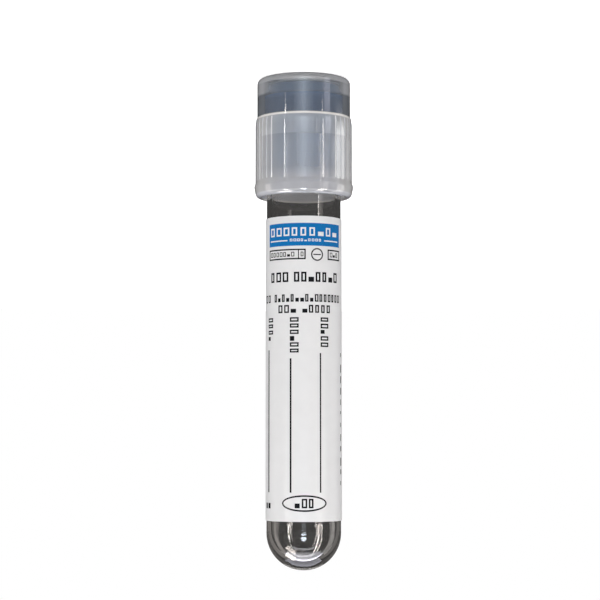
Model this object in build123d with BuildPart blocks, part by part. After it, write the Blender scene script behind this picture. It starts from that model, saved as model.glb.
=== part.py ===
"""Blood collection tube, standing on its cap.

Four pieces on one axis: a clear round-bottomed tube, the rubber stopper in its mouth, the
translucent shield that caps both, and the label round the tube. Z = 0 is the flat top of the
cap, which the thing stands on, and +Z runs along the axis to the tube's round end. The label's
front faces -Y. Lengths are in millimetres and angles in degrees.
"""
import os
from math import radians, sin

from build123d import *

# Tube
tube_length = 75.0         # mouth to round end
tube_radius = 6.43         # outside
tube_wall = 0.87           # at the mouth
bore_draft = 0.1           # the bore's radius is this much less at its round end
end_wall = 1.5             # at the middle of the round end
mouth_outer_round = 0.3
mouth_inner_round = 0.2
split_line_width = 0.2     # fine raised line that the mould leaves where the round end starts
split_line_height = 0.03

# Shield, outside
shield_height = 20.9
top_wall = 1.25
skirt_wall = 1.05
chamber_wall = 1.0         # round the stopper's flange
crown_round = 0.95         # the crown is the smooth part round the stopper
ledge_width = 0.16         # step from the crown to the skirt
ledge_round = 0.08
flare_width = 0.15         # the skirt reaches its full radius below the ledge
flare_height = 1.2
bead_proud = 0.18          # bead round the skirt's open end
bead_slope = 0.5
bead_height = 2.5
lip_taper = 0.35           # the bead is this much narrower at its end
lip_taper_height = 1.7
lip_taper_round = 2.0
lip_round = 0.85

# Shield, inside
port_lip = 1.72            # the flat top covers this much of the boss, round the needle port
port_round = 0.25
shoulder_length = 3.5      # ring between the stopper's flange and the tube's mouth
shoulder_round = 0.2
ledge_offset = 0.2         # outside ledge, past the shoulder's start

# Grip grooves down both sides of the skirt
plain_angle = 82.0         # the smooth front and the smooth back each span this
grooves_per_side = 13
groove_width = 0.3
groove_depth = 0.12
groove_margin = 0.35       # skirt left plain at each end of a groove

# Stopper
boss_height = 1.95
boss_round = 0.35
boss_taper = 0.5           # the boss is this much wider at the flange than at its top
flange_step = 0.4          # boss's foot to the chamber's wall
flange_thickness = 3.58
flange_round = 0.15
plug_length = 7.0          # inside the tube's mouth
plug_chamfer = 0.5
well_rim = 0.8             # boss seen through the port, round the needle well
well_taper = 0.4
well_depth = 4.7
well_round = 0.3
recess_wall = 1.74         # round the hollow in the plug's end
recess_depth = 3.9
recess_round = 1.0
band_groove_start = 3.0    # groove between the plug's two sealing bands, from the tube's mouth
band_groove_width = 0.4
band_groove_depth = 0.1

# Label
label_from_mouth = 14.36
label_from_round = 2.13    # bare side left before the round end
label_thickness = 0.15
window_angle = 40.0        # strip of bare tube at the back
label_corner = 1.2

# Fits
seat_gap = 0.05            # tube's mouth to the shield's shoulder
skirt_gap = 0.95           # tube to the bore of the skirt
boss_gap = 0.02            # boss to the underside of the shield's flat top
flange_squeeze = 0.05      # the rubber flange is this much larger than its chamber
neck_clearance = 0.06      # stopper's neck to the shoulder's bore
plug_clearance = 0.03      # plug to the tube's bore
glue_line = 0.01           # label to tube

# Places along the axis, from the cap's flat top to the round end
boss_top = top_wall + boss_gap
flange_top = boss_top + boss_height
shoulder_start = flange_top + flange_thickness
crown_height = shoulder_start + ledge_offset
shoulder_end = shoulder_start + shoulder_length
mouth_z = shoulder_end + seat_gap
plug_end = mouth_z + plug_length
bead_start = shield_height - bead_height
outer_tip = mouth_z + tube_length
round_start = outer_tip - tube_radius
label_start = mouth_z + label_from_mouth
label_end = round_start - label_from_round


def section(*corners):
    """Closed outline of half a turned piece. A corner is its radius, height and rounding."""
    places = [(radius, height) for radius, height, rounding in corners]
    roundings = [rounding for radius, height, rounding in corners]
    FilletPolyline(*places, radius=roundings, close=True)


def bore_radius(height):
    """Inside radius of the tube's drafted bore."""
    share = (height - mouth_z) / (bore_round_start - mouth_z)
    return bore_mouth_radius - bore_draft * share


# Tube: a straight side and a round end, with a drafted bore whose own round end stops further
# from the tip, so that the bottom is thicker than the side
bore_mouth_radius = tube_radius - tube_wall
bore_tip_radius = bore_mouth_radius - bore_draft
bore_tip = outer_tip - end_wall
bore_round_start = bore_tip - bore_tip_radius

with BuildPart() as tube:
    with BuildSketch(Plane.XZ):
        with BuildLine():
            RadiusArc((tube_radius, round_start), (0, outer_tip), -tube_radius)
            Line((0, outer_tip), (0, bore_tip))
            RadiusArc((0, bore_tip), (bore_tip_radius, bore_round_start), bore_tip_radius)
            Polyline(
                (bore_tip_radius, bore_round_start),
                (bore_mouth_radius, mouth_z),
                (tube_radius, mouth_z),
                (tube_radius, round_start - split_line_width),
                (tube_radius + split_line_height, round_start - split_line_width / 2),
                (tube_radius, round_start),
            )
        make_face()
    revolve(axis=Axis.Z)
    rims = tube.edges().filter_by(GeomType.CIRCLE).group_by(Axis.Z)[0].sort_by(SortBy.RADIUS)
    fillet(rims[0], mouth_inner_round)
    rims = tube.edges().filter_by(GeomType.CIRCLE).group_by(Axis.Z)[0].sort_by(SortBy.RADIUS)
    fillet(rims[-1], mouth_outer_round)

# Shield: crown, ledge, flared skirt and bead outside; inside, the stopper's chamber, the
# shoulder between stopper and tube, and the bore of the skirt
skirt_bore_radius = tube_radius + skirt_gap
skirt_radius = skirt_bore_radius + skirt_wall
bead_radius = skirt_radius + bead_proud
ledge_radius = skirt_radius - flare_width
crown_radius = ledge_radius - ledge_width
chamber_radius = crown_radius - chamber_wall
boss_foot_radius = chamber_radius - flange_step
boss_radius = boss_foot_radius - boss_taper
port_radius = boss_radius - port_lip
plug_radius = bore_radius(plug_end) - plug_clearance
shoulder_radius = plug_radius + neck_clearance

with BuildPart() as shield:
    with BuildSketch(Plane.XZ):
        with BuildLine():
            section(
                (port_radius, 0, port_round),
                (crown_radius, 0, crown_round),
                (crown_radius, crown_height, 0),
                (ledge_radius, crown_height, ledge_round),
                (skirt_radius, crown_height + flare_height, 0),
                (skirt_radius, bead_start, 0),
                (bead_radius, bead_start + bead_slope, 0),
                (bead_radius, shield_height - lip_taper_height, lip_taper_round),
                (bead_radius - lip_taper, shield_height, lip_round),
                (skirt_bore_radius, shield_height, 0),
                (skirt_bore_radius, shoulder_end, shoulder_round),
                (shoulder_radius, shoulder_end, 0),
                (shoulder_radius, shoulder_start, 0),
                (chamber_radius, shoulder_start, shoulder_round),
                (chamber_radius, top_wall, shoulder_round),
                (port_radius, top_wall, 0),
            )
        make_face()
    revolve(axis=Axis.Z)
    # a groove's cutter is a round bar that sinks groove_depth into the skirt
    bar_radius = (groove_width**2 / 4 + groove_depth**2) / (2 * groove_depth)
    bar_place = skirt_radius - groove_depth + bar_radius
    groove_start = crown_height + groove_margin
    grip_angle = 180 - plain_angle
    with BuildSketch(Plane.XY.offset(groove_start)):
        for side in (0, 180):
            with PolarLocations(
                bar_place, grooves_per_side, side - grip_angle / 2, grip_angle, endpoint=True
            ):
                Circle(bar_radius)
    extrude(amount=bead_start - groove_margin - groove_start, mode=Mode.SUBTRACT)

# Stopper: boss with the needle well, flange, and a neck that runs on as the plug
flange_radius = chamber_radius + flange_squeeze
well_radius = port_radius - well_rim
well_floor_radius = well_radius - well_taper
well_floor = boss_top + well_depth
recess_radius = plug_radius - recess_wall
recess_floor = plug_end - recess_depth
band_groove = mouth_z + band_groove_start

with BuildPart() as stopper:
    with BuildSketch(Plane.XZ):
        with BuildLine():
            section(
                (0, well_floor, 0),
                (well_floor_radius, well_floor, well_round),
                (well_radius, boss_top, well_round),
                (boss_radius, boss_top, boss_round),
                (boss_foot_radius, flange_top, flange_round),
                (flange_radius, flange_top, flange_round),
                (flange_radius, shoulder_start, flange_round),
                (plug_radius, shoulder_start, flange_round),
                (plug_radius, band_groove, 0),
                (plug_radius - band_groove_depth, band_groove + band_groove_width / 2, 0),
                (plug_radius, band_groove + band_groove_width, 0),
                (plug_radius, plug_end - plug_chamfer, 0),
                (plug_radius - plug_chamfer, plug_end, 0),
                (recess_radius, plug_end, 0),
                (recess_radius, recess_floor, recess_round),
                (0, recess_floor, 0),
            )
        make_face()
    revolve(axis=Axis.Z)

# Label: a sleeve on the tube, cut open down its back. The cut flares at both ends, which rounds
# the label's four corners
label_radius = tube_radius + glue_line + label_thickness
label_middle = (label_start + label_end) / 2
label_length = label_end - label_start
window_width = 2 * tube_radius * sin(radians(window_angle / 2))

with BuildPart() as label:
    with BuildSketch(Plane.XY.offset(label_start)):
        Circle(label_radius)
        Circle(tube_radius + glue_line, mode=Mode.SUBTRACT)
    extrude(amount=label_length)
    with BuildSketch(Plane.XZ) as window:
        with Locations((0, label_middle)):
            Rectangle(window_width, label_length)
        with Locations((0, label_start - label_corner), (0, label_end + label_corner)):
            Rectangle(window_width + 4 * label_corner, 2 * label_corner)
        columns = window.vertices().group_by(Axis.X)
        fillet(columns[1] + columns[2], label_corner)
    extrude(amount=-2 * tube_radius, mode=Mode.SUBTRACT)

tube.part.label = "tube"
shield.part.label = "shield"
stopper.part.label = "stopper"
label.part.label = "label"

os.makedirs("parts", exist_ok=True)
export_step(tube.part, "parts/tube.step")
export_step(shield.part, "parts/shield.step")
export_step(stopper.part, "parts/stopper.step")
export_step(label.part, "parts/label.step")
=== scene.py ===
# %% [markdown]
# # A blood collection tube, standing on its cap
# The real thing is four pieces on one axis. A clear tube with a round bottom is closed by a rubber
# stopper, a milky plastic cap covers the stopper and the tube's mouth, and a printed label goes
# round the tube. The CAD model holds their sizes and how they fit. Blender adds what CAD can't say,
# which is how each surface takes the light.
#
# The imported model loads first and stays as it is. Everything added here is placed by reading sizes
# from it, in metres, so nothing has to be fitted by eye.

# %% Load the model
import math
import random

import bmesh
import bpy
from mathutils import Matrix, Vector


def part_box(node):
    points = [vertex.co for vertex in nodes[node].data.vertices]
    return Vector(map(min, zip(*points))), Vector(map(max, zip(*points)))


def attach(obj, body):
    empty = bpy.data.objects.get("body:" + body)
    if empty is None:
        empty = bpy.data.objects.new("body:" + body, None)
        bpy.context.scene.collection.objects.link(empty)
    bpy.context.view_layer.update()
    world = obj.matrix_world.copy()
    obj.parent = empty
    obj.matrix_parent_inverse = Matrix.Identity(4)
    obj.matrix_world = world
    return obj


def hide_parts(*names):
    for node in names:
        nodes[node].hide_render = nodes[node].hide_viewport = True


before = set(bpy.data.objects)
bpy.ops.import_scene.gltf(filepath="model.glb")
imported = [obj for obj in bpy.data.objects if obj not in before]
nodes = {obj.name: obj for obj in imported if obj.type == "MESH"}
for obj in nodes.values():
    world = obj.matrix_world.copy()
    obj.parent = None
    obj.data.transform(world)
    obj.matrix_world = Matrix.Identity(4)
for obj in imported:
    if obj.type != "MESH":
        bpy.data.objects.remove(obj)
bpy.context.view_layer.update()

scene = bpy.context.scene
MM = 0.001

# %% [markdown]
# ## Camera
# A long lens from a little above the middle keeps the sides of a tall thin thing nearly parallel.
# The picture is to show the tube with its cap at the top, while the thing itself stands on that
# cap. So the camera is rolled by half a turn. Turning the object instead would leave it balanced
# on its round end, where it can't stand.

# %% Camera
scene.view_settings.view_transform = "Standard"
camera_distance = 0.320
camera_height = 0.0623
camera_tilt = math.radians(4.218)
camera_pan = math.radians(-0.116)
half_turn = math.radians(180)
camera_data = bpy.data.cameras.new("camera")
camera_data.lens = 110.65
camera = bpy.data.objects.new("camera", camera_data)
scene.collection.objects.link(camera)
camera.matrix_world = (
    Matrix.Translation((0, -camera_distance, camera_height))
    @ Matrix.Rotation(camera_pan, 4, "Z")
    @ Matrix.Rotation(math.radians(90) - camera_tilt, 4, "X")
    @ Matrix.Rotation(half_turn, 4, "Z")
)
scene.camera = camera
print(f"camera {camera_distance / MM:.0f} mm away with a {camera_data.lens:.0f} mm lens")

# %% [markdown]
# ## Small tools for materials
# A material is a graph of nodes, and a few helpers keep the graphs short to read. Three of them
# join two sockets, add a Math node, and start a new material with its main values set straight on
# the shader.
#
# No real surface is perfectly even, so the other four deal with unevenness. They make a cloudy
# noise, spread it over a range, turn it into bumps, and let it darken a colour a little. Noise was
# chosen over painted images because it stays sharp at any distance.

# %% Node helpers
def link(tree, start, end):
    tree.links.new(start, end)


def math_node(tree, operation, *values):
    """A Math node with these numbers or sockets on its inputs. Gives its output."""
    node = tree.nodes.new("ShaderNodeMath")
    node.operation = operation
    for socket, value in zip(node.inputs, values):
        if isinstance(value, (int, float)):
            socket.default_value = value
        else:
            link(tree, value, socket)
    return node.outputs[0]


def new_finish(name, **values):
    """A material whose Principled shader has these values. Gives it, its tree and its shader."""
    material = bpy.data.materials.new(name)
    material.use_nodes = True
    shader = material.node_tree.nodes["Principled BSDF"]
    for socket, value in values.items():
        shader.inputs[socket.replace("_", " ")].default_value = value
    return material, material.node_tree, shader


print("helpers: link, math_node, new_finish")

# %% Unevenness helpers
def noise(tree, scale, detail=2.0, stretch=(1, 1, 1)):
    """Cloudy noise in the piece's own space, with about this many lumps to the metre."""
    place = tree.nodes.new("ShaderNodeTexCoord")
    squeeze = tree.nodes.new("ShaderNodeMapping")
    squeeze.inputs["Scale"].default_value = stretch
    clouds = tree.nodes.new("ShaderNodeTexNoise")
    clouds.inputs["Scale"].default_value = scale
    clouds.inputs["Detail"].default_value = detail
    link(tree, place.outputs["Object"], squeeze.inputs["Vector"])
    link(tree, squeeze.outputs["Vector"], clouds.inputs["Vector"])
    return clouds.outputs["Fac"]


def spread(tree, value, low, high):
    """The middle of a noise, 0.3 to 0.7, spread over low to high."""
    stretch = tree.nodes.new("ShaderNodeMapRange")
    stretch.inputs["From Min"].default_value = 0.3
    stretch.inputs["From Max"].default_value = 0.7
    stretch.inputs["To Min"].default_value = low
    stretch.inputs["To Max"].default_value = high
    link(tree, value, stretch.inputs["Value"])
    return stretch.outputs["Result"]


def relief(tree, shader, height, depth):
    """Bumps of this depth, in metres, over the whole surface."""
    bump = tree.nodes.new("ShaderNodeBump")
    bump.inputs["Distance"].default_value = depth
    link(tree, height, bump.inputs["Height"])
    link(tree, bump.outputs["Normal"], shader.inputs["Normal"])


def mottle(tree, shader, clouds, colour, share):
    """Gives the shader this colour, up to this share darker where the clouds are thick."""
    mix = tree.nodes.new("ShaderNodeMix")
    mix.data_type = "RGBA"
    mix.inputs["A"].default_value = (*colour, 1)
    mix.inputs["B"].default_value = (*[channel * (1 - share) for channel in colour], 1)
    link(tree, spread(tree, clouds, 0, 1), mix.inputs["Factor"])
    link(tree, mix.outputs["Result"], shader.inputs["Base Color"])


print("helpers: noise, spread, relief, mottle")

# %% [markdown]
# ## White surroundings
# The background has to look white without pouring white light on the object. Light Path tells
# what kind of ray is asking. A ray from the camera, in a reflection or through glass is shown
# plain white at strength 1. The rays that light the surfaces get a softer room light instead, at
# the level where a colour comes out about as it was written.

# %% World
room_light = 0.56


def seen_directly(tree):
    """1 for the rays that see a surface from the camera, in a reflection or through glass."""
    path = tree.nodes.new("ShaderNodeLightPath")
    seen = math_node(tree, "MAXIMUM", path.outputs["Is Camera Ray"], path.outputs["Is Glossy Ray"])
    return math_node(tree, "MAXIMUM", seen, path.outputs["Is Transmission Ray"])


world = bpy.data.worlds.new("studio")
world.use_nodes = True
scene.world = world
tree = world.node_tree
tree.nodes.clear()
output = tree.nodes.new("ShaderNodeOutputWorld")
either = tree.nodes.new("ShaderNodeMixShader")
room = tree.nodes.new("ShaderNodeBackground")
room.inputs["Color"].default_value = (0.97, 0.98, 1.0, 1)
room.inputs["Strength"].default_value = room_light
backdrop = tree.nodes.new("ShaderNodeBackground")
backdrop.inputs["Color"].default_value = (1, 1, 1, 1)
backdrop.inputs["Strength"].default_value = 1.0
link(tree, seen_directly(tree), either.inputs["Fac"])
link(tree, room.outputs[0], either.inputs[1])
link(tree, backdrop.outputs[0], either.inputs[2])
link(tree, either.outputs[0], output.inputs["Surface"])
print(f"room light {room_light}, backdrop {backdrop.inputs['Strength'].default_value}")

# %% [markdown]
# ## Floor
# The floor is a large pale disc just under the cap. Its colour alone would come out grey, so it
# also glows a little for the rays that look at it. The glow and the lit paint add up to white,
# and where the object takes light from the paint, its shadow stays.
#
# The floor is hidden from reflections and from rays through glass. The camera looks down at the
# cap, so the cap's wall mirrors what is below the floor's level, and some lamps and cards stand
# down there.

# %% Floor
floor_radius = 0.6
floor_gap = 0.03 * MM
floor_grey = 0.8
floor_glow = 0.72
floor_mesh = bpy.data.meshes.new("floor")
shape = bmesh.new()
bmesh.ops.create_circle(shape, cap_ends=True, segments=128, radius=floor_radius)
shape.to_mesh(floor_mesh)
shape.free()


def add_stage(name, mesh, material):
    """A thing that belongs to the studio and not to the object."""
    mesh.materials.append(material)
    piece = bpy.data.objects.new(name, mesh)
    scene.collection.objects.link(piece)
    return piece


floor_paint = bpy.data.materials.new("floor_paint")
floor_paint.use_nodes = True
tree = floor_paint.node_tree
tree.nodes.clear()
output = tree.nodes.new("ShaderNodeOutputMaterial")
paint = tree.nodes.new("ShaderNodeBsdfDiffuse")
paint.inputs["Color"].default_value = (floor_grey, floor_grey, floor_grey, 1)
glow = tree.nodes.new("ShaderNodeEmission")
both = tree.nodes.new("ShaderNodeAddShader")
glow_strength = math_node(tree, "MULTIPLY", seen_directly(tree), floor_glow)
link(tree, glow_strength, glow.inputs["Strength"])
link(tree, paint.outputs[0], both.inputs[0])
link(tree, glow.outputs[0], both.inputs[1])
link(tree, both.outputs[0], output.inputs["Surface"])
floor = add_stage("floor", floor_mesh, floor_paint)
floor.location.z = -floor_gap
floor.visible_glossy = False
floor.visible_transmission = False
print(f"floor {2 * floor_radius:.1f} m across")

# %% [markdown]
# ## Lamps
# Shiny plastic shows its lamps as shapes. On an upright cylinder a tall narrow lamp becomes a
# thin white line, and a wide dim one becomes a soft band. A line ends where its lamp ends, which
# is why each lamp's low and high ends are set with care.
#
# Lamps that only serve as reflections are hidden from diffuse rays. They draw their shape on the
# plastic and leave the white label evenly lit. Two lamps at the same distance would hide each
# other where they overlap, even when one of them can't be seen, so such lamps stand a little
# apart.

# %% Lamp helpers
lamp_distance = 0.35
behind = lamp_distance + 0.01
far_behind = lamp_distance + 0.02
near_distance = 0.15
lamp_top = 0.45


def lamp(name, place, aim, size, strength, colour, shape="RECTANGLE", lights=True):
    """An area lamp whose face has this strength, where 1 is white."""
    data = bpy.data.lights.new(name, "AREA")
    data.shape = shape
    data.size, data.size_y = size
    round_share = math.pi / 4 if shape == "ELLIPSE" else 1
    data.energy = strength * math.pi * size[0] * size[1] * round_share
    data.color = colour
    lit = bpy.data.objects.new(name, data)
    scene.collection.objects.link(lit)
    toward = Vector(aim) - Vector(place)
    turn = toward.to_track_quat("-Z", "Y").to_matrix().to_4x4()
    lit.matrix_world = Matrix.Translation(place) @ turn
    lit.visible_camera = False
    lit.visible_diffuse = lights
    return lit


def upright(name, angle, width, low, high, strength, colour, lights=False, distance=lamp_distance):
    """A standing lamp at this angle from the front. Above 0 it is on the +X side.

    One that stays below the floor's level is for the cap's gloss only.
    """
    turn = math.radians(angle)
    middle = (low + high) / 2
    place = (distance * math.sin(turn), -distance * math.cos(turn), middle)
    lit = lamp(name, place, (0, 0, middle), (width, high - low), strength, colour, lights=lights)
    lit.visible_transmission = high > 0
    return lit


warm = (1, 0.93, 0.88)
soft_warm = (1, 0.96, 0.92)
cool = (0.80, 0.90, 1)
lilac = (0.88, 0.88, 1)
plain = (1, 1, 1)
print(f"lamps stand {lamp_distance / MM:.0f} mm from the axis, or {near_distance / MM:.0f} mm")

# %% [markdown]
# A strip on each side draws the white lines. Its light and its reflection are separate lamps. The
# one that lights the label runs the whole height and shows in nothing. The ones that
# show are cut where the plastic should have no line, such as on the cap's bead.
#
# The camera looks down at the cap, so the cap's wall mirrors what is below the floor's level, and
# the strips for it start down there. The lines on the round end come from strips that stand
# closer, where they are too high for the cap's wall to mirror them.

# %% Strips
strip_low = -0.0555
strip_high = -0.030
neck_strip_high = -0.016
lip_strip_low = 0.130
dome_strip_low = 0.084
left_light = upright("left_light", 45.5, 0.013, -0.058, lamp_top, 22, soft_warm, True, behind)
right_light = upright("right_light", -47, 0.014, -0.058, lamp_top, 16, warm, True, behind)
for light in (left_light, right_light):
    light.visible_glossy = False
    light.visible_transmission = False
for low, high in ((strip_low, strip_high), (lip_strip_low, lamp_top)):
    upright("left_strip", 45.5, 0.013, low, high, 22, soft_warm)
for low, high in ((strip_low, neck_strip_high), (lip_strip_low, lamp_top)):
    upright("right_strip", -46.5, 0.014, low, high, 16, warm)
upright("left_near", 47, 0.012, dome_strip_low, 0.116, 22, soft_warm, distance=near_distance)
upright("right_near", -45.5, 0.011, dome_strip_low, 0.30, 20, warm, distance=near_distance)
upright("right_near", -57, 0.009, dome_strip_low, 0.30, 18, warm, distance=near_distance)
print("strips start", round(-strip_low / MM, 1), "mm below the floor")

# %% [markdown]
# Soft lamps fill in between the lines. Windows at the sides shape the edges of the cap and the
# tube, and are hidden from rays through glass, so that a view from the side doesn't show them in
# the clear tube. Two dim lamps behind lighten the tube's edges, where the wall bends the view
# outward.
#
# In front, nested sheets of four widths add up to a glow that fades to both sides, in one set for
# the crown and one for the skirt. A round lamp gives the bright spot on the round end, and the
# lamps overhead give its curved highlights.

# %% Soft lamps
skirt_low = -0.0535
crown_low = -0.10
window_low = 0.03
upright("right_soft", -54, 0.085, skirt_low, lamp_top, 1.4, warm, distance=far_behind)
upright("right_glow", -60, 0.10, crown_low, skirt_low, 2.5, lilac)
left_window = upright("left_window", 92, 0.12, window_low, lamp_top, 1.8, warm)
right_window = upright("right_window", -98, 0.14, window_low, lamp_top, 2.2, soft_warm)
for window in (left_window, right_window):
    window.visible_transmission = False
upright("right_window_low", -98, 0.16, skirt_low, strip_high, 4.5, plain)
upright("left_back", 150, 0.16, window_low, lamp_top, 0.20, warm)
upright("right_back", -150, 0.16, window_low, lamp_top, 0.14, soft_warm)
for step, width in enumerate((0.30, 0.20, 0.12, 0.06)):
    further = lamp_distance + 0.004 * step
    upright("front_low", 0, width, crown_low, skirt_low, 0.7, cool, distance=further)
    upright("front_middle", 0, width, skirt_low, strip_high - 0.001, 0.6, cool, distance=further)
upright("front_glow", 0, 0.08, 0.0940, 0.0965, 1.2, cool)
lamp("front_disc", (0, -0.20, 0.135), (0, 0, 0.08), (0.056, 0.052), 26, cool, "ELLIPSE", False)
lamp("top_panel", (0, 0.12, 0.5), (0, 0, 0.1), (0.5, 0.3), 2.6, lilac, lights=False)
lamp("top_bar", (0, -0.125, 0.5), (0, 0, 0.08), (0.46, 0.07), 6, (0.95, 0.95, 1))
lamp("upper_left", (0.2, 0, 0.44), (0, 0, 0.08), (0.13, 0.17), 14, warm, lights=False)

# %% [markdown]
# ## Cards round the glass
# Clear plastic has hardly any look of its own: it shows what stands round it. A photographer who
# shoots glass against white sets dark cards beside and behind it, out of the picture, so that the
# glass keeps a dark body with crisp edges. So the clear parts here show the cards and not the
# white background. A narrow pale sheet low behind the object lights what is seen through the
# cap's open end.
#
# The cards are sheets turned about the axis. They are hidden from the camera and from the
# rays that light the surfaces, so they only show in gloss and through the clear tube. Light that
# has bounced off a surface before it meets them gets the room's level, which keeps the inside of
# the cap as bright as the room.

# %% Card helpers
def card(name, outline, material, sweep=360, start=0, steps=64):
    """A sheet turned about the axis through an outline of (radius, height)."""
    mesh = bpy.data.meshes.new(name)
    shape = bmesh.new()
    rows = []
    for step in range(steps + 1):
        turn = math.radians(start + sweep * step / steps)
        rows.append([shape.verts.new((r * math.sin(turn), -r * math.cos(turn), z)) for r, z in outline])
    for first, second in zip(rows, rows[1:]):
        for i in range(len(outline) - 1):
            shape.faces.new((first[i], second[i], second[i + 1], first[i + 1]))
    bmesh.ops.remove_doubles(shape, verts=shape.verts, dist=0.001 * MM)
    shape.to_mesh(mesh)
    shape.free()
    piece = add_stage(name, mesh, material)
    piece.visible_camera = False
    piece.visible_diffuse = False
    piece.visible_shadow = False
    return piece


def glowing(name, colour, strength):
    """A material that only gives light. Gives it with its tree and its light."""
    material = bpy.data.materials.new(name)
    material.use_nodes = True
    tree = material.node_tree
    tree.nodes.clear()
    output = tree.nodes.new("ShaderNodeOutputMaterial")
    light = tree.nodes.new("ShaderNodeEmission")
    light.inputs["Color"].default_value = (*colour, 1)
    light.inputs["Strength"].default_value = strength
    link(tree, light.outputs[0], output.inputs["Surface"])
    return material, tree, light


print("helpers: card, glowing")

# %% Dark card
card_light = 0.06
card_reach = 0.5
card_low = -0.4
card_high = 0.7
near_axis = 0.1 * MM
dark_cloth, tree, light = glowing("dark_cloth", (1, 0.97, 0.95), card_light)
path = tree.nodes.new("ShaderNodeLightPath")
bounced = math_node(tree, "GREATER_THAN", path.outputs["Diffuse Depth"], 0.5)
level = math_node(tree, "MULTIPLY_ADD", bounced, room_light - card_light, card_light)
link(tree, level, light.inputs["Strength"])
tent = [(near_axis, card_low), (card_reach, card_low), (0.7, 0), (0.6, 0.6), (near_axis, card_high)]
card("dark_card", tent, dark_cloth)
print(f"dark card {2 * card_reach:.0f} m across, light {card_light}")

# %% Pale card
pale_light = 2.5
pale_sweep = 44
sweep_top = -0.0433
sheet_reach = card_reach - 0.01
sheet_low = card_low + 0.005
pale_sheet, tree, light = glowing("pale_sheet", plain, pale_light)
low_sheet = [(near_axis, sheet_low), (sheet_reach, sheet_low), (sheet_reach, sweep_top)]
pale_start = 180 - pale_sweep / 2
pale_card = card("pale_card", low_sheet, pale_sheet, sweep=pale_sweep, start=pale_start)
pale_card.visible_glossy = False
print("pale card ends", round(-sweep_top / MM, 1), "mm below the floor")

# %% [markdown]
# ## How the turned pieces are made
# The tube and the cap were moulded as round parts, so each is half a section turned about the
# axis. The CAD meshes have the right size, but their long thin faces bend reflections a little,
# and in clear plastic that shows. So these two are made again here from the same sizes, with even
# rows of faces.
#
# A sharp corner never looks real, so the helper rounds a corner with an arc. The Weighted Normal
# modifier then lets the large flat faces keep their shading and bends it only in the rounds.

# %% Outline helpers
def arc(middle, radius, start, end, steps):
    """Points of an arc, as (radius from the axis, height). Angles in degrees."""
    points = []
    for step in range(steps + 1):
        turn = math.radians(start + (end - start) * step / steps)
        points.append((middle[0] + radius * math.cos(turn), middle[1] + radius * math.sin(turn)))
    return points


def rounded(corners, steps=8):
    """A closed outline from corners of (radius, height, rounding)."""
    points = []
    for index, (r, z, rounding) in enumerate(corners):
        if rounding == 0:
            points.append((r, z))
            continue
        here = Vector((r, z))
        back = (Vector(corners[index - 1][:2]) - here).normalized()
        ahead = (Vector(corners[(index + 1) % len(corners)][:2]) - here).normalized()
        half = back.angle(ahead) / 2
        middle = here + (back + ahead).normalized() * (rounding / math.sin(half))
        first = here + back * (rounding / math.tan(half)) - middle
        last = here + ahead * (rounding / math.tan(half)) - middle
        whole = first.angle_signed(last)
        for step in range(steps + 1):
            spot = middle + Matrix.Rotation(-whole * step / steps, 2) @ first
            points.append((spot.x, spot.y))
    return points

# %% Turning helper
sharp_angle = math.radians(35)


def turned(name, outline, columns, sink=None):
    """A closed outline turned about the axis, with a column of points at each of these angles.

    sink(radius, height, angle) gives how far a point sinks into the piece and how pale it is, which
    is a painted highlight. The paleness stays on the point as "pale", for its material.
    """
    shape = bmesh.new()
    paleness = shape.verts.layers.float.new("pale")
    rings = []
    for column in columns:
        turn = math.radians(column)
        ring = []
        for r, z in outline:
            depth, pale = sink(r, z, column) if sink else (0, 0)
            point = shape.verts.new(((r - depth) * math.sin(turn), -(r - depth) * math.cos(turn), z))
            point[paleness] = pale
            ring.append(point)
        rings.append(ring)
    on_axis = [abs(r) < 0.0001 * MM for r, z in outline]
    for first, second in zip(rings, rings[1:] + rings[:1]):
        for i in range(len(outline)):
            j = (i + 1) % len(outline)
            if not (on_axis[i] and on_axis[j]):
                shape.faces.new((first[i], first[j], second[j], second[i]))
    bmesh.ops.remove_doubles(shape, verts=shape.verts, dist=0.0001 * MM)
    bmesh.ops.recalc_face_normals(shape, faces=shape.faces)
    open_edges = sum(1 for edge in shape.edges if len(edge.link_faces) != 2)
    mesh = bpy.data.meshes.new(name)
    shape.to_mesh(mesh)
    shape.free()
    mesh.polygons.foreach_set("use_smooth", [True] * len(mesh.polygons))
    mesh.set_sharp_from_angle(angle=sharp_angle)
    piece = bpy.data.objects.new(name, mesh)
    scene.collection.objects.link(piece)
    even = piece.modifiers.new("even_shading", "WEIGHTED_NORMAL")
    even.weight = 100
    even.keep_sharp = True
    print(name, len(mesh.polygons), "faces,", open_edges, "open edges")
    return piece

# %% [markdown]
# ## Clear tube
# The tube is moulded in one go: a wall under a millimetre thick, a bore that narrows slightly so
# that it lets go of its core, and a round end that is thicker at its middle. Where the round end
# starts, the mould leaves a fine raised line. Inside and outside are both modelled, because a ray
# has to bend at each of the two surfaces before the wall looks like a wall.

# %% Tube shape
split_width = 0.2 * MM
split_height = 0.03 * MM
tube_wall = 0.87 * MM
bore_draft = 0.1 * MM
end_wall = 1.5 * MM
inner_rim = 0.2 * MM
outer_rim = 0.3 * MM
tube_low, tube_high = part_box("tube")
mouth_z = tube_low.z
tip_z = tube_high.z
tube_radius = tube_high.x - split_height
bore_mouth_radius = tube_radius - tube_wall
bore_tip_radius = bore_mouth_radius - bore_draft
round_start = tip_z - tube_radius
bore_round_start = tip_z - end_wall - bore_tip_radius
split_line = [
    (tube_radius + height * split_height, round_start - share * split_width)
    for height, share in ((0, 1), (0.5, 0.75), (1, 0.5), (0.5, 0.25))
]
tube_outline = (
    list(reversed(arc((0, bore_round_start), bore_tip_radius, 0, 90, 48)))
    + arc((bore_mouth_radius + inner_rim, mouth_z + inner_rim), inner_rim, 180, 270, 6)
    + arc((tube_radius - outer_rim, mouth_z + outer_rim), outer_rim, -90, 0, 8)
    + split_line
    + arc((0, round_start), tube_radius, 0, 90, 64)
)
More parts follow.
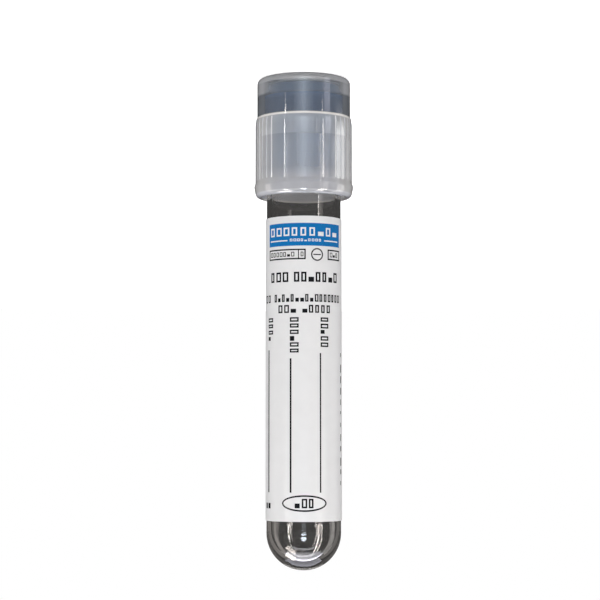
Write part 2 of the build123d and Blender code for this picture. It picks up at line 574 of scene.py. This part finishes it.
tube_columns = [column * 360 / 192 for column in range(192)]
tube = turned("clear_tube", tube_outline, tube_columns)
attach(tube, "vial")
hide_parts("tube")
print(f"tube {(tip_z - mouth_z) / MM:.1f} mm long, {2 * tube_radius / MM:.2f} mm across")

# %% [markdown]
# ## Clear plastic
# Clear plastic is a shader with full transmission. It bends light by an index near 1.5 and soaks
# up a little of it on the way, which the volume does, so a long path along the wall looks darker
# than a short one across it. Moulded plastic is never as flat as ground glass: a low, wide relief
# makes the reflections waver, and the gloss changes a little from place to place.
#
# A lamp's ray can't find its way through bent glass, which would leave the stopper and the inside
# in the dark. So for shadow rays alone the wall is mostly see-through.

# %% Clear plastic
wall_shadow = 0.15
soak_colour = (0.92, 0.915, 0.91)
soak_density = 1000
clear_plastic, tree, shader = new_finish("clear_plastic", IOR=1.5, Transmission_Weight=1.0)
shader.inputs["Base Color"].default_value = (1, 1, 1, 1)
path = tree.nodes.new("ShaderNodeLightPath")
stops_lamps = math_node(tree, "MULTIPLY_ADD", path.outputs["Is Shadow Ray"], wall_shadow - 1, 1)
link(tree, stops_lamps, shader.inputs["Alpha"])
link(tree, spread(tree, noise(tree, 260), 0.012, 0.03), shader.inputs["Roughness"])
relief(tree, shader, noise(tree, 220, 1.0, (1, 1, 0.45)), 0.005 * MM)
soak = tree.nodes.new("ShaderNodeVolumeAbsorption")
soak.inputs["Color"].default_value = (*soak_colour, 1)
soak.inputs["Density"].default_value = soak_density
link(tree, soak.outputs[0], tree.nodes["Material Output"].inputs["Volume"])
tube.data.materials.append(clear_plastic)
soaked_up = (1 - soak_colour[1]) * soak_density * tube_wall
print("tube wall lets through", round(math.exp(-soaked_up), 2))

# %% [markdown]
# ## Cap
# The cap is one moulding. Its closed end holds the stopper's flange behind a smooth crown. Below
# a small ledge the skirt flares a little, and a rounded bead runs round its open end. The skirt
# is smooth at the front and the back, and has fine grip grooves down both sides.
#
# A groove is a round bar pressed into the wall. Cutting them one by one with booleans would leave
# ragged faces, so the wall is turned with extra columns of points at each groove, and those
# points sink along the bar's circle. Each groove also carries a painted highlight: its points are
# marked pale and the material paints them paler. The groove next to each smooth part catches more
# light, so its painted highlight is the strongest.

# %% Cap sizes across
bead_proud = 0.18 * MM
flare_width = 0.15 * MM
ledge_width = 0.16 * MM
chamber_wall = 1.0 * MM
skirt_wall = 1.05 * MM
lip_taper = 0.35 * MM
shoulder_over_bore = 0.02 * MM
shield_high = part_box("shield")[1]
bead_radius = shield_high.x
skirt_radius = bead_radius - bead_proud
ledge_radius = skirt_radius - flare_width
crown_radius = ledge_radius - ledge_width
chamber_radius = crown_radius - chamber_wall
skirt_bore = skirt_radius - skirt_wall
lip_radius = bead_radius - lip_taper
port_radius = 4.5 * MM
shoulder_radius = bore_mouth_radius + shoulder_over_bore
print(f"cap {2 * bead_radius / MM:.2f} mm across its bead")

# %% Cap sizes up the axis
boss_gap = 0.02 * MM
seat_gap = 0.05 * MM
shoulder_length = 3.5 * MM
ledge_offset = 0.2 * MM
flare_height = 1.2 * MM
bead_height = 2.5 * MM
bead_slope = 0.5 * MM
lip_taper_height = 1.7 * MM
shield_height = shield_high.z
stopper_low, stopper_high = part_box("stopper")
top_wall = stopper_low.z - boss_gap
shoulder_end = mouth_z - seat_gap
shoulder_start = shoulder_end - shoulder_length
crown_height = shoulder_start + ledge_offset
flare_end = crown_height + flare_height
bead_start = shield_height - bead_height
bead_full = bead_start + bead_slope
lip_start = shield_height - lip_taper_height
print(f"cap {shield_height / MM:.1f} mm high, ledge at {crown_height / MM:.2f} mm")

# %% Grip grooves
plain_angle = 82
grooves_per_side = 13
groove_width = 0.3 * MM
groove_depth = 0.12 * MM
groove_margin = 0.35 * MM
groove_fade = 0.06 * MM
# The grooves carry a painted highlight, strongest in the groove beside each smooth part.
end_groove_highlight = 1.0
groove_highlight_share = 0.6
groove_low = crown_height + groove_margin
groove_high = bead_start - groove_margin
bar_radius = (groove_width**2 / 4 + groove_depth**2) / (2 * groove_depth)
half_groove = math.degrees(groove_width / 2 / skirt_radius)
grip_angle = 180 - plain_angle
pitch = grip_angle / (grooves_per_side - 1)
grooves = []
cap_columns = []
for side in (90, 270):
    for index in range(grooves_per_side):
        groove = side - grip_angle / 2 + pitch * index
        grooves.append(groove)
        cap_columns += [groove + share * half_groove for share in (-1, -0.9, -0.6, 0, 0.6, 0.9, 1)]
        if index < grooves_per_side - 1:
            cap_columns += [groove + share * pitch for share in (0.3, 0.5, 0.7)]
for front in (0, 180):
    cap_columns += [front + column for column in range(-38, 39, 2)]
cap_columns = sorted(column % 360 for column in cap_columns)


def groove_sink(r, z, column):
    """How far the nearest groove sinks a point of the skirt's outside, and its painted highlight there.
    """
    if r < ledge_radius or z <= groove_low or z >= groove_high:
        return 0, 0
    off, groove = min((abs((column - groove + 180) % 360 - 180), groove) for groove in grooves)
    across = math.radians(off) * skirt_radius
    if across >= groove_width / 2:
        return 0, 0
    depth = max(0, groove_depth - bar_radius + math.sqrt(bar_radius**2 - across**2))
    beside_plain = grip_angle / 2 - abs(groove % 180 - 90) < 1
    pale = end_groove_highlight if beside_plain else groove_highlight_share
    return depth, pale * min(1, depth / (0.1 * groove_depth))


print(len(grooves), "grooves,", len(cap_columns), "columns")

# %% Cap shape
def on_flare(z):
    """A corner on the skirt's flare, between the ledge and its full radius."""
    share = (z - crown_height) / (flare_end - crown_height)
    return (ledge_radius + share * (skirt_radius - ledge_radius), z, 0)


port_round = 0.25 * MM
crown_round = 0.95 * MM
ledge_round = 0.08 * MM
taper_round = 2.0 * MM
lip_round = 0.85 * MM
shoulder_round = 0.2 * MM
cap_outline = rounded([
    (port_radius, 0, port_round),
    (crown_radius, 0, crown_round),
    (crown_radius, crown_height, 0),
    (ledge_radius, crown_height, ledge_round),
    on_flare(groove_low),
    on_flare(groove_low + groove_fade),
    (skirt_radius, flare_end, 0),
    (skirt_radius, groove_high - groove_fade, 0),
    (skirt_radius, groove_high, 0),
    (skirt_radius, bead_start, 0),
    (bead_radius, bead_full, 0),
    (bead_radius, lip_start, taper_round),
    (lip_radius, shield_height, lip_round),
    (skirt_bore, shield_height, 0),
    (skirt_bore, shoulder_end, shoulder_round),
    (shoulder_radius, shoulder_end, 0),
    (shoulder_radius, shoulder_start, 0),
    (chamber_radius, shoulder_start, shoulder_round),
    (chamber_radius, top_wall, shoulder_round),
    (port_radius, top_wall, 0),
])
cap = turned("clear_shield", cap_outline, cap_columns, groove_sink)
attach(cap, "closure")
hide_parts("shield")

# %% [markdown]
# ## Milky plastic
# The cap's plastic is natural polypropylene: it lets shapes through but scatters some light, like
# thin milk. A full scattering volume would be slow and noisy. A haze does the same job here: the
# surface is partly see-through by its Alpha, and the rest is a pale coat that the lamps light.
#
# Seen at a slant, the way through the wall is longer and the haze is thicker. Layer Weight gives
# the slant, and the clear share is raised to the power of one over its cosine, as it would be in a
# real layer.
#
# The haze changes with height, because what lies behind the wall does: the flange presses on it
# and darkens it, and the thick ring at the tube's mouth is milkier. Some stops are painted light:
# a painted highlight line at the ledge and at the inside edge of the lip, a painted highlight line
# and a painted shade line round the lip, and a paler inside, partly the plastic's own haze and
# partly painted light from behind. So colours and levels are written down as stops up the cap,
# where a level is how much of the light the haze stops. There is one list for the outside as seen
# from the front, one for where it turns away, and one for the inside.

# %% Haze helpers
def by_height(tree, height, stops):
    """A colour or a level that changes with height. stops are (height in mm, value)."""
    ramp = tree.nodes.new("ShaderNodeValToRGB")
    elements = ramp.color_ramp.elements
    while len(elements) < len(stops):
        elements.new(0.5)
    for element, (place, value) in zip(elements, stops):
        element.position = place * MM / shield_height
        element.color = (*value, 1) if isinstance(value, tuple) else (value, value, value, 1)
    link(tree, height, ramp.inputs[0])
    return ramp.outputs[0]


def either(tree, choice, first, second):
    """The first colour or level where choice is 0, the second where it is 1."""
    mix = tree.nodes.new("ShaderNodeMix")
    mix.data_type = "RGBA"
    link(tree, choice, mix.inputs["Factor"])
    for value, socket in ((first, mix.inputs["A"]), (second, mix.inputs["B"])):
        if isinstance(value, tuple):
            socket.default_value = (*value, 1)
        else:
            link(tree, value, socket)
    return mix.outputs["Result"]


def over_slant(tree, slant, low, high):
    """0 where the surface faces the view, rising from 0 to 1 between these two slants."""
    turn = tree.nodes.new("ShaderNodeMapRange")
    turn.inputs["From Min"].default_value = low
    turn.inputs["From Max"].default_value = high
    link(tree, slant, turn.inputs["Value"])
    return turn.outputs["Result"]


print("helpers: by_height, either, over_slant")

# %% Haze colours
top_haze = (0.52, 0.53, 0.55)
crown_haze = (0.32, 0.365, 0.42)
crown_side = (0.47, 0.48, 0.50)
flange_haze = (0.22, 0.24, 0.265)
flange_side = (0.17, 0.185, 0.205)
# Painted highlight: the white line at the ledge and at the inside edge of the lip.
ledge_and_lip_highlight = (1.0, 0.98, 0.94)
skirt_haze = (0.56, 0.61, 0.68)
side_haze = (0.65, 0.645, 0.64)
lip_haze = (0.60, 0.61, 0.65)
# Painted light round the lip: a highlight line, and next to it a painted shade line.
lip_highlight = (0.66, 0.67, 0.70)
lip_painted_shade = (0.20, 0.205, 0.215)
lip_end = (0.42, 0.43, 0.45)
# The inside's pale haze is partly the plastic's own colour and partly painted light, which stands in
# for light coming through from behind.
inner_haze_and_painted_light = (0.84, 0.85, 0.87)
# Painted highlight in the grooves.
groove_highlight = (0.93, 0.93, 0.94)
# Painted shade for the very edge.
edge_painted_shade = (0.05, 0.05, 0.055)
print(f"skirt haze {skirt_haze}, its sides {side_haze}")

# %% Haze on the outside
# Some of these stops are painted light: the ledge's highlight line and the lip's highlight and shade
# lines.
outside_colours = [
    (0.0, top_haze), (1.15, top_haze), (1.30, crown_haze), (2.9, crown_haze),
    (4.4, flange_haze), (6.82, flange_haze), (6.90, ledge_and_lip_highlight), (7.22, ledge_and_lip_highlight),
    (7.34, skirt_haze), (14.3, skirt_haze), (18.3, lip_haze), (20.22, lip_haze),
    (20.30, lip_highlight), (20.46, lip_highlight), (20.54, lip_painted_shade), (20.74, lip_painted_shade),
    (20.82, lip_end),
]
outside_levels = [
    (0.0, 0.62), (1.15, 0.62), (1.30, 0.34), (2.9, 0.34), (4.4, 0.50),
    (6.82, 0.50), (6.90, 0.97), (7.22, 0.97), (7.34, 0.65), (8.80, 0.52),
    (10.54, 0.50), (10.64, 0.38), (16.3, 0.38), (18.3, 0.50), (20.22, 0.60),
    (20.30, 0.90),
]
print(len(outside_colours), "colours and", len(outside_levels), "levels up the outside")

# %% Haze at the sides
side_colours = [
    (0.0, top_haze), (1.15, top_haze), (1.30, crown_side), (3.0, crown_side),
    (3.4, flange_side), (6.82, flange_side), (6.90, ledge_and_lip_highlight), (7.22, ledge_and_lip_highlight),
    (7.34, side_haze), (20.22, side_haze), (20.30, lip_highlight), (20.46, lip_highlight),
    (20.54, lip_haze),
]
side_levels = [
    (0.0, 0.62), (1.15, 0.62), (1.30, 0.50), (3.0, 0.50), (3.4, 0.94),
    (6.82, 0.94), (6.90, 0.97), (7.22, 0.97), (7.34, 0.65), (8.80, 0.50),
    (10.3, 0.38), (16.3, 0.38), (18.3, 0.50), (20.22, 0.60), (20.30, 0.90),
]
print(len(side_colours), "colours and", len(side_levels), "levels up the sides")

# %% Haze on the inside
# The inside's pale stops and its white line at the lip's edge are partly painted light.
inside_colours = [
    (0.0, inner_haze_and_painted_light), (1.30, inner_haze_and_painted_light), (1.45, crown_haze), (2.9, crown_haze),
    (4.4, flange_haze), (6.60, flange_haze), (6.80, skirt_haze), (16.3, skirt_haze),
    (18.3, inner_haze_and_painted_light), (20.58, inner_haze_and_painted_light), (20.66, ledge_and_lip_highlight),
]
inside_levels = [
    (0.0, 0.80), (1.30, 0.80), (1.45, 0.34), (2.9, 0.34), (4.4, 0.50),
    (6.60, 0.50), (6.80, 0.60), (8.80, 0.50), (10.3, 0.38), (16.3, 0.38),
    (18.3, 0.90), (20.58, 0.90), (20.66, 0.99),
]
print(len(inside_colours), "colours and", len(inside_levels), "levels up the inside")

# %% [markdown]
# Toward the sides, the colour changes over to the sides' list early and the level only near the
# edge. At the very edge the colour is painted dark by slant, a painted shade outline. A faint
# cloudiness and the painted highlight of the grooves are laid over that.

# %% Milky plastic
bore_skin = 0.03 * MM
groove_highlight_level = 0.42
edge_shade_power = 6
least_cosine = 0.05
least_clear = 0.01
milky, tree, shader = new_finish("milky_plastic", IOR=2.0)
place = tree.nodes.new("ShaderNodeTexCoord")
split = tree.nodes.new("ShaderNodeSeparateXYZ")
link(tree, place.outputs["Object"], split.inputs[0])
height = math_node(tree, "DIVIDE", split.outputs["Z"], shield_height)
squares = [math_node(tree, "POWER", split.outputs[axis], 2) for axis in ("X", "Y")]
radius = math_node(tree, "SQRT", math_node(tree, "ADD", *squares))
inside = math_node(tree, "LESS_THAN", radius, skirt_bore + bore_skin)
under_top = math_node(tree, "GREATER_THAN", split.outputs["Z"], top_wall / 2)
inside = math_node(tree, "MULTIPLY", inside, under_top)
slant = tree.nodes.new("ShaderNodeLayerWeight").outputs["Facing"]
sideways = over_slant(tree, slant, 0.15, 0.45)
edge_on = over_slant(tree, slant, 0.44, 0.54)
outline = math_node(tree, "POWER", slant, edge_shade_power)
groove_highlight_mark = tree.nodes.new("ShaderNodeAttribute")
groove_highlight_mark.attribute_name = "pale"
groove_highlight_mark = groove_highlight_mark.outputs["Fac"]
print(f"inside below a radius of {(skirt_bore + bore_skin) / MM:.2f} mm")

# %% Milky plastic's colour
front_colour = by_height(tree, height, outside_colours)
side_colour = by_height(tree, height, side_colours)
colour = either(tree, sideways, front_colour, side_colour)
colour = either(tree, inside, colour, by_height(tree, height, inside_colours))
# Painted highlight: the grooves are painted paler.
colour = either(tree, groove_highlight_mark, colour, groove_highlight)
# Painted shade: the colour goes dark at the very edge.
colour = either(tree, outline, colour, edge_painted_shade)
link(tree, colour, shader.inputs["Base Color"])
print("colour nodes", len(tree.nodes))

# %% Milky plastic's haze
clouds = spread(tree, noise(tree, 120, 2.0, (1, 1, 0.3)), -0.035, 0.035)
front_level = by_height(tree, height, outside_levels)
side_level = by_height(tree, height, side_levels)
level = either(tree, edge_on, front_level, side_level)
level = either(tree, inside, level, by_height(tree, height, inside_levels))
haze = math_node(tree, "ADD", level, clouds)
haze = math_node(tree, "MULTIPLY_ADD", groove_highlight_mark, groove_highlight_level, haze)
cosine = math_node(tree, "MAXIMUM", math_node(tree, "SUBTRACT", 1, slant), least_cosine)
clearness = math_node(tree, "MAXIMUM", math_node(tree, "SUBTRACT", 1, haze), least_clear)
clearness = math_node(tree, "POWER", clearness, math_node(tree, "DIVIDE", 1, cosine))
link(tree, math_node(tree, "SUBTRACT", 1, clearness), shader.inputs["Alpha"])
link(tree, spread(tree, noise(tree, 700), 0.06, 0.10), shader.inputs["Roughness"])
relief(tree, shader, noise(tree, 1500, 2.0), 0.001 * MM)
cap.data.materials.append(milky)
print("milky plastic is", len(tree.nodes), "nodes")

# %% [markdown]
# ## Stopper and label
# These two keep their CAD shape, and only their material changes. The stopper is dark blue rubber
# with the dull, faintly pitted skin that comes from its mould. The label is white plastic film
# with a soft sheen and a very fine grain.

# %% Stopper rubber
def dress(node, material):
    """Puts one material on a CAD node."""
    slots = nodes[node].data.materials
    slots.clear()
    slots.append(material)


rubber_blue = (0.06, 0.17, 0.42)
rubber, tree, shader = new_finish("stopper_rubber", IOR=1.5)
mottle(tree, shader, noise(tree, 900, 3.0), rubber_blue, 0.15)
link(tree, spread(tree, noise(tree, 1800, 2.0), 0.42, 0.60), shader.inputs["Roughness"])
relief(tree, shader, noise(tree, 3500, 3.0), 0.010 * MM)
dress("stopper", rubber)
print("stopper", round((stopper_high.z - stopper_low.z) / MM, 2), "mm long")

# %% Label film
label_white = (0.88, 0.88, 0.88)
film, tree, shader = new_finish("label_film", IOR=1.5)
mottle(tree, shader, noise(tree, 500, 3.0), label_white, 0.025)
link(tree, spread(tree, noise(tree, 1200, 2.0), 0.30, 0.42), shader.inputs["Roughness"])
relief(tree, shader, noise(tree, 4000, 2.0), 0.0015 * MM)
dress("label", film)
label_low, label_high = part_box("label")
label_radius = label_high.x
print(f"label {(label_high.z - label_low.z) / MM:.1f} mm long")

# %% [markdown]
# ## Print on the label
# Print is a very thin layer of ink, wrapped on the label. It could be painted in the label's
# material, but thin solids stay crisp at any distance and can be read as shapes. All the marks are
# plain ones: a blue band, ruled lines, frames, and rows of small blocks where words would go.
#
# Each mark is a ribbon. At every station along it there are two edge points on the label's curve,
# and each edge point is doubled, once in the label's skin and once at the ink's surface. Joining
# the stations gives a closed solid. A place on the label is an angle from the front in degrees,
# above 0 towards -X, and a height. Along a curve there is a station every few degrees.

# %% Ribbon helper
ink_sink = 0.004 * MM
ink_rise = 0.012 * MM
station_angle = 3


def ribbon(shape, stations, closed=False, layer=0):
    """A thin closed solid on the label. A station is the (angle, height) of its two edges."""
    inner = label_radius - ink_sink + layer * ink_rise
    outer = label_radius + ink_rise + layer * ink_rise
    sections = []
    for first, second in stations:
        section = []
        for (angle, z), radius in ((first, inner), (first, outer), (second, outer), (second, inner)):
            turn = math.radians(angle)
            section.append(shape.verts.new((-radius * math.sin(turn), -radius * math.cos(turn), z)))
        sections.append(section)
    following = sections[1:] + sections[:1] if closed else sections[1:]
    for here, there in zip(sections, following):
        for i in range(4):
            j = (i + 1) % 4
            shape.faces.new((here[i], here[j], there[j], there[i]))
    if not closed:
        shape.faces.new(sections[0])
        shape.faces.new(list(reversed(sections[-1])))


print(f"ink stands {ink_rise / MM} mm proud")

# %% Fields, ovals and frames
def patch(shape, start, end, low, high, layer=0):
    """A filled field from one angle to another and one height to another, in mm."""
    steps = max(1, math.ceil(abs(end - start) / station_angle))
    turns = [start + (end - start) * step / steps for step in range(steps + 1)]
    ribbon(shape, [((turn, low * MM), (turn, high * MM)) for turn in turns], layer=layer)


def oval(shape, middle, size, line, steps=72):
    """A closed oval line round a place. size is its width and height in mm, line its thickness."""
    angle, z = middle
    across = math.degrees(MM / label_radius)
    stations = []
    for step in range(steps):
        turn = 2 * math.pi * step / steps
        edges = []
        for inset in (line, 0):
            x = (size[0] / 2 - inset) * math.cos(turn)
            y = (size[1] / 2 - inset) * math.sin(turn)
            edges.append((angle + x * across, (z + y) * MM))
        stations.append(tuple(edges))
    ribbon(shape, stations, closed=True)


def frame_mark(shape, start, end, low, high, line, layer=0):
    """A closed line frame from one angle to another and one height to another, in mm."""
    side = math.degrees(line * MM / label_radius)
    steps = max(1, math.ceil((end - start) / station_angle))
    turns = [start + (end - start) * step / steps for step in range(steps + 1)]
    path = [(turn, low) for turn in turns] + [(turn, high) for turn in reversed(turns)]
    stations = []
    for turn, z in path:
        inner_turn = min(max(turn, start + side), end - side)
        inner_z = min(max(z, low + line), high - line)
        stations.append(((turn, z * MM), (inner_turn, inner_z * MM)))
    ribbon(shape, stations, closed=True, layer=layer)


print("helpers: patch, oval, frame_mark")

# %% Finished print
def printed(name, shape, ink):
    """Finishes a piece of print and puts it on the label."""
    bmesh.ops.recalc_face_normals(shape, faces=shape.faces)
    open_edges = sum(1 for edge in shape.edges if len(edge.link_faces) != 2)
    mesh = bpy.data.meshes.new(name)
    shape.to_mesh(mesh)
    shape.free()
    mesh.materials.append(ink)
    piece = bpy.data.objects.new(name, mesh)
    scene.collection.objects.link(piece)
    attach(piece, "vial")
    print(name, len(mesh.polygons), "faces,", open_edges, "open edges")

# %% Inks
def ink(name, colour):
    """Dried ink: an even colour with a faint mottle and a soft sheen."""
    material, tree, shader = new_finish(name, IOR=1.5, Specular_IOR_Level=0.1)
    mottle(tree, shader, noise(tree, 2500, 2.0), colour, 0.12)
    link(tree, spread(tree, noise(tree, 1500, 2.0), 0.45, 0.60), shader.inputs["Roughness"])
    relief(tree, shader, noise(tree, 5000, 2.0), 0.001 * MM)
    return material


blue_ink = ink("blue_ink", (0.002, 0.185, 0.52))
white_ink = ink("white_ink", (0.90, 0.90, 0.90))
black_ink = ink("black_ink", (0.010, 0.010, 0.012))
print("inks: blue, white, black")

# %% [markdown]
# Words and numbers on the real label are replaced by rows of frames and blocks that spell
# nothing. A frame is an outline as wide as a letter, and a block fills half of that height. Their
# widths and kinds are drawn at random, so that no row looks like a pattern. The draws start from
# a fixed seed, so the label comes out the same every time.

# %% Rows of marks
mark_seed = 7
narrow = 0.62
wide = 0.80
frame_share = 0.75
room_needed = 0.6
draw = random.Random(mark_seed)


def mark_row(shape, start, end, low, high, pitch, line, layer=0):
    """Frames and half-height blocks along a row, from one angle to another."""
    place = start
    while place < end - room_needed * pitch:
        width = pitch * draw.uniform(narrow, wide)
        if draw.random() < frame_share:
            frame_mark(shape, place, place + width, low, high, line, layer)
        else:
            patch(shape, place, place + width, (low + high) / 2, high, layer)
        place += pitch


def mark_column(shape, start, end, low, high, pitch, line):
    """Frames and half-width blocks up a column, from one height to another."""
    place = low
    while place < high - room_needed * pitch:
        width = pitch * draw.uniform(narrow, wide)
        if draw.random() < frame_share:
            frame_mark(shape, start, end, place, place + width, line)
        else:
            patch(shape, start, (start + end) / 2, place, place + width)
        place += pitch


print(f"marks fill {narrow:.0%} to {wide:.0%} of their place")

# %% [markdown]
# The blue band is the label's one strong colour. Its white marks lie one layer higher: a bold row,
# and under it a row of small marks between two thin lines. A printer would leave the film bare
# there. A second layer gives the same look and is simpler than cutting holes in the band.

# %% Blue band
band_height = 3.9
label_start = label_low.z / MM
band_low = label_start + 1.24
band_high = band_low + band_height
shape = bmesh.new()
patch(shape, -63, 67, band_low, band_high)
printed("blue_print", shape, blue_ink)
shape = bmesh.new()
mark_row(shape, -58, 62, band_low + 0.75, band_low + 2.2, 13.3, 0.26, layer=1)
patch(shape, -59, -25, band_low + 2.9, band_low + 3.1, layer=1)
mark_row(shape, -21, 28, band_low + 2.7, band_low + 3.15, 5.5, 0.12, layer=1)
patch(shape, 32, 61, band_low + 2.9, band_low + 3.1, layer=1)
printed("white_print", shape, white_ink)

# %% [markdown]
# The black print fills the rest of the label. Under the band stand two frames with small marks in
# them, and a circle with a line through it between the two. A bold heading and four smaller rows
# follow. Then come three fields, each with a column of marks and a thin line to write on, which
# run along the tube because there is more room that way. The last row has an oval, and small
# marks run up one edge.
#
# It is all one ink, so it is all one piece. Each step below adds to the same mesh.

# %% Frames
black = bmesh.new()
row = band_high + 0.55
frame_mark(black, -62.5, 3, row, row + 1.8, 0.23)
patch(black, -8.5, -7.1, row + 0.2, row + 1.6)
mark_row(black, -58, -12, row + 0.5, row + 1.3, 6.5, 0.13)
frame_mark(black, -4.5, -0.5, row + 0.5, row + 1.3, 0.13)
oval(black, (20.5, row + 0.95), (2.2, 2.2), 0.22, steps=40)
patch(black, 14.5, 26.5, row + 0.86, row + 1.04)
frame_mark(black, 38.5, 67.5, row, row + 1.8, 0.23)
mark_row(black, 43, 65, row + 0.5, row + 1.3, 6.5, 0.13)
print("frames,", len(black.faces), "faces so far")

# %% Heading and rows
heading = band_high + 4.5
mark_row(black, -57.5, -20, heading, heading + 1.7, 12.2, 0.30)
mark_row(black, -14.7, 62, heading, heading + 1.7, 10.9, 0.30)
mark_row(black, -76, -54, heading + 3.8, heading + 5.1, 10, 0.22)
mark_row(black, -49, 68, heading + 3.8, heading + 5.1, 7.3, 0.22)
mark_row(black, -41, -9, heading + 5.65, heading + 7.0, 10.6, 0.25)
mark_row(black, -2, 46, heading + 5.65, heading + 7.0, 9.6, 0.25)
print("rows,", len(black.faces), "faces so far")

# %% Fields
across = math.degrees(MM / label_radius)
fields_start = heading + 7.75
rules_end = label_high.z / MM - 4.9
field_pitch = 1.07
field_line = 0.25
fields = [
    (-65, -66, -53, 4.8, 5.5, 0.36),
    (-19.8, -21, -7.5, 6.3, 7.0, 0.30),
    (25.6, 26, 39.5, 5.5, 6.1, 0.25),
]
for rule, start, end, marks_end, rule_start, thickness in fields:
    field_end = fields_start + marks_end
    mark_column(black, start, end, fields_start, field_end, field_pitch, field_line)
    half = thickness / 2 * across
    patch(black, rule - half, rule + half, fields_start + rule_start, rules_end)
print(len(fields), "fields,", len(black.faces), "faces so far")

# %% Oval and edge marks
oval_z = label_high.z / MM - 3.1
oval(black, (1, oval_z), (70 / across, 2.8), 0.28, steps=96)
mark_row(black, -13.5, 19.5, oval_z - 0.8, oval_z + 0.8, 10.5, 0.28)
mark_row(black, -75, -57, oval_z - 0.95, oval_z + 0.95, 9.0, 0.30)
edge_start = label_start + 23.3
edge_marks = 12
edge_pitch = 2
edge_angle = 73
for step in range(edge_marks):
    place = edge_start + edge_pitch * step
    edge_end = edge_angle + 2 + draw.uniform(0, 2)
    patch(black, edge_angle, edge_end, place, place + draw.uniform(0.5, 1.4))
printed("black_print", black, black_ink)
